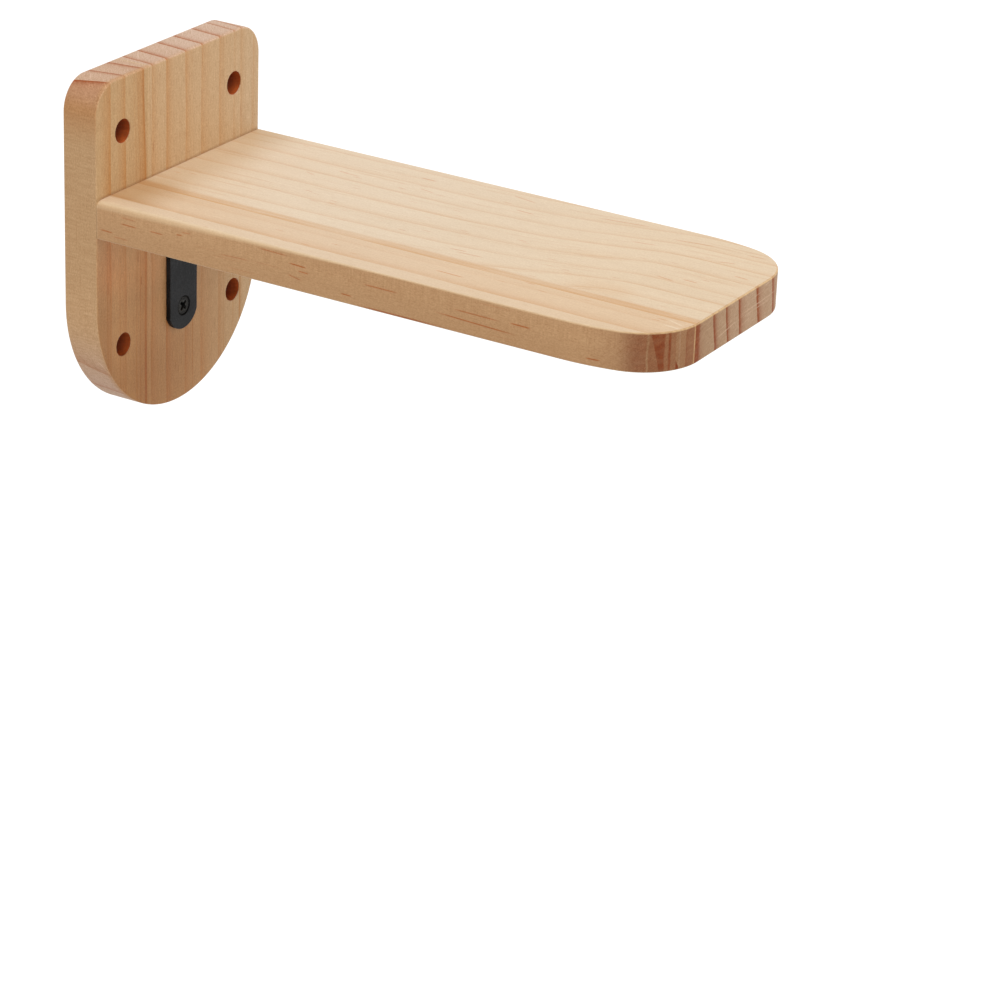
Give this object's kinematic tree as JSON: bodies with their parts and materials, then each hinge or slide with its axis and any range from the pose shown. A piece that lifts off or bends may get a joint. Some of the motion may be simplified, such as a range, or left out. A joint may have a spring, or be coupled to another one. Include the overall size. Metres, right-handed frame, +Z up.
{
  "type": "cat wall shelf",
  "caption": "Pine wall step for a cat: a board with rounded front corners butted to a round-bottomed wall plate, held by a black steel angle bracket underneath.",
  "frame": {"origin": "centre of the four wall holes, on the back plate's back face, in the wall plane", "axes": "+Y into the wall, the board stands out towards -Y; +X to the right for someone facing the wall; +Z up"},
  "size_m": [0.12, 0.29, 0.16],
  "materials": {
    "pine_plate": "planed and sanded pine, thin clear satin lacquer, grain upright",
    "pine_board": "planed and sanded pine, thin clear satin lacquer, grain along the board",
    "black_steel": "satin black powder coat",
    "black_screw": "black oxide screw, semi-matt",
    "zinc_screw": "pale yellow zinc-plated steel"
  },
  "bodies": {
    "root": {"back_plate": "pine_plate", "step_board": "pine_board", "angle_bracket": "black_steel", "plate_screw_upper": "black_screw", "plate_screw_lower": "black_screw", "board_screw_inner": "black_screw", "board_screw_outer": "black_screw", "joint_screw_left": "zinc_screw", "joint_screw_right": "zinc_screw"}
  },
  "joints": []
}
